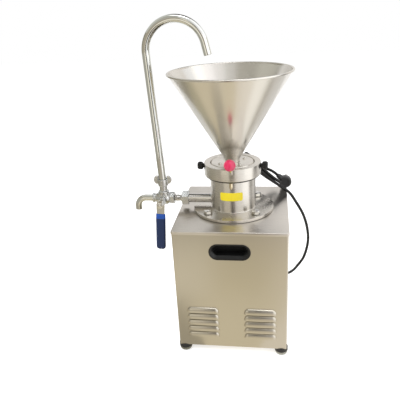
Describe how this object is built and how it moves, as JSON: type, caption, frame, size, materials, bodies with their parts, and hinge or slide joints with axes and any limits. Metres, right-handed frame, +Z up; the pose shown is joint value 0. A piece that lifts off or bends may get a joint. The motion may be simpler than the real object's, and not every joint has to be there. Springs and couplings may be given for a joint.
{
  "type": "nut butter mill",
  "caption": "Electric colloid mill on a stainless cabinet: hopper, adjustable grinding head, three-way outlet valve and a gooseneck pipe that returns the paste.",
  "frame": {"origin": "on the floor, below the middle of the machine without its mains lead", "axes": "+X to the right as seen from the front, +Y to the back, +Z up"},
  "size_m": [0.4237, 0.3572, 0.7463],
  "materials": {
    "stainless_sheet": "brushed stainless sheet",
    "turned_steel": "turned stainless",
    "hopper_steel": "satin spun stainless",
    "pipe_steel": "polished stainless tube",
    "cast_steel": "cast and machined stainless",
    "grinding_steel": "hardened steel with cut grooves",
    "fastener_steel": "bright plated or polished steel",
    "plain_steel": "plain steel",
    "capacitor_can": "drawn aluminium can",
    "motor_paint": "grey paint",
    "winding": "laminated core with varnished copper windings",
    "black_plastic": "satin moulded plastic",
    "switch_plastic": "glossy moulded plastic",
    "foot_rubber": "matte rubber",
    "gasket_fibre": "pale sealing ring",
    "cord_rubber": "smooth cord jacket",
    "plug_rubber": "moulded dark rubber with bare pins",
    "red_gloss": "glossy plastic",
    "blue_vinyl": "dipped vinyl"
  },
  "bodies": {
    "cabinet": {"cabinet_shell": "stainless_sheet", "cabinet_top": "stainless_sheet", "back_panel": "stainless_sheet", "base_plate": "stainless_sheet", "front_grip": "black_plastic", "back_grip": "black_plastic", "switch_housing": "black_plastic", "terminal_box": "black_plastic", "mounting_plate": "plain_steel", "top_bearing": "plain_steel", "bottom_bearing": "plain_steel", "run_capacitor": "capacitor_can", "foot_front_left": "foot_rubber", "foot_front_right": "foot_rubber", "foot_back_right": "foot_rubber", "foot_back_left": "foot_rubber", "shaft_seal": "foot_rubber", "mill_body": "turned_steel", "nipple": "turned_steel", "flange_bolt_front_left": "fastener_steel", "flange_bolt_front_right": "fastener_steel", "flange_bolt_back_right": "fastener_steel", "flange_bolt_back_left": "fastener_steel", "pointer": "fastener_steel", "flange_gasket": "gasket_fibre", "union_nut": "cast_steel", "valve_body": "cast_steel", "spout": "pipe_steel", "motor_top_shield": "motor_paint", "motor_shell": "motor_paint", "motor_bottom_shield": "motor_paint", "fan_cover": "motor_paint", "motor_stator": "winding", "cord_gland": "cord_rubber", "cord_lead": "cord_rubber", "cord_hank": "cord_rubber", "cord_tail": "cord_rubber", "plug": "plug_rubber"},
    "rotor": {"motor_shaft": "plain_steel", "motor_rotor": "plain_steel", "motor_fan": "black_plastic", "mill_rotor": "grinding_steel", "rotor_nut": "fastener_steel"},
    "ring": {"adjusting_ring": "turned_steel", "lever_rod": "fastener_steel", "lever_ball": "red_gloss"},
    "knob_left": {"locking_knob_left": "black_plastic"},
    "knob_right": {"locking_knob_right": "black_plastic"},
    "stator_unit": {"stator_carrier": "turned_steel", "mill_stator": "grinding_steel"},
    "hopper_unit": {"hopper": "hopper_steel"},
    "valve_handle": {"valve_ball": "fastener_steel", "valve_lever": "fastener_steel", "lever_sleeve": "blue_vinyl", "lever_nut": "fastener_steel"},
    "wing": {"wing_nut": "cast_steel"},
    "gooseneck": {"return_pipe": "pipe_steel"},
    "rocker": {"switch_rocker": "switch_plastic"}
  },
  "joints": [
    {"name": "shaft_spin", "type": "hinge", "parent": "cabinet", "child": "rotor", "pos_m": [0.05119, -0.0006, 0.25], "axis": [0, 0, 1], "continuous": true},
    {"name": "ring_turn", "type": "hinge", "parent": "cabinet", "child": "ring", "pos_m": [0.05119, -0.0006, 0.414], "axis": [0, 0, 1], "range_deg": [-60, 0]},
    {"name": "stator_lift", "type": "slide", "parent": "cabinet", "child": "stator_unit", "axis": [0, 0, 1], "range_m": [-0.001, 0]},
    {"name": "hopper_lift", "type": "slide", "parent": "stator_unit", "child": "hopper_unit", "axis": [0, 0, 1], "range_m": [0, 0.02]},
    {"name": "knob_left_turn", "type": "hinge", "parent": "ring", "child": "knob_left", "pos_m": [-0.02081, -0.0006, 0.4195], "axis": [-1, 0, 0], "range_deg": [0, 360]},
    {"name": "knob_right_turn", "type": "hinge", "parent": "ring", "child": "knob_right", "pos_m": [0.12319, -0.0006, 0.4195], "axis": [1, 0, 0], "range_deg": [0, 360]},
    {"name": "valve_turn", "type": "hinge", "parent": "cabinet", "child": "valve_handle", "pos_m": [-0.11381, -0.0406, 0.339], "axis": [0, 1, 0], "range_deg": [-4, 86]},
    {"name": "wing_nut_turn", "type": "hinge", "parent": "cabinet", "child": "wing", "pos_m": [-0.11381, -0.0006, 0.379], "axis": [0, 0, 1], "continuous": true},
    {"name": "gooseneck_swivel", "type": "hinge", "parent": "cabinet", "child": "gooseneck", "pos_m": [-0.11381, -0.0006, 0.399], "axis": [0, 0, 1], "range_deg": [-95, 95]},
    {"name": "switch_rock", "type": "hinge", "parent": "cabinet", "child": "rocker", "pos_m": [0.17669, 0.0194, 0.26], "axis": [0, 1, 0], "range_deg": [0, 16]}
  ],
  "couplings": [
    {"joint": "stator_lift", "follows": "ring_turn", "m_per_rad": 0.00095}
  ]
}
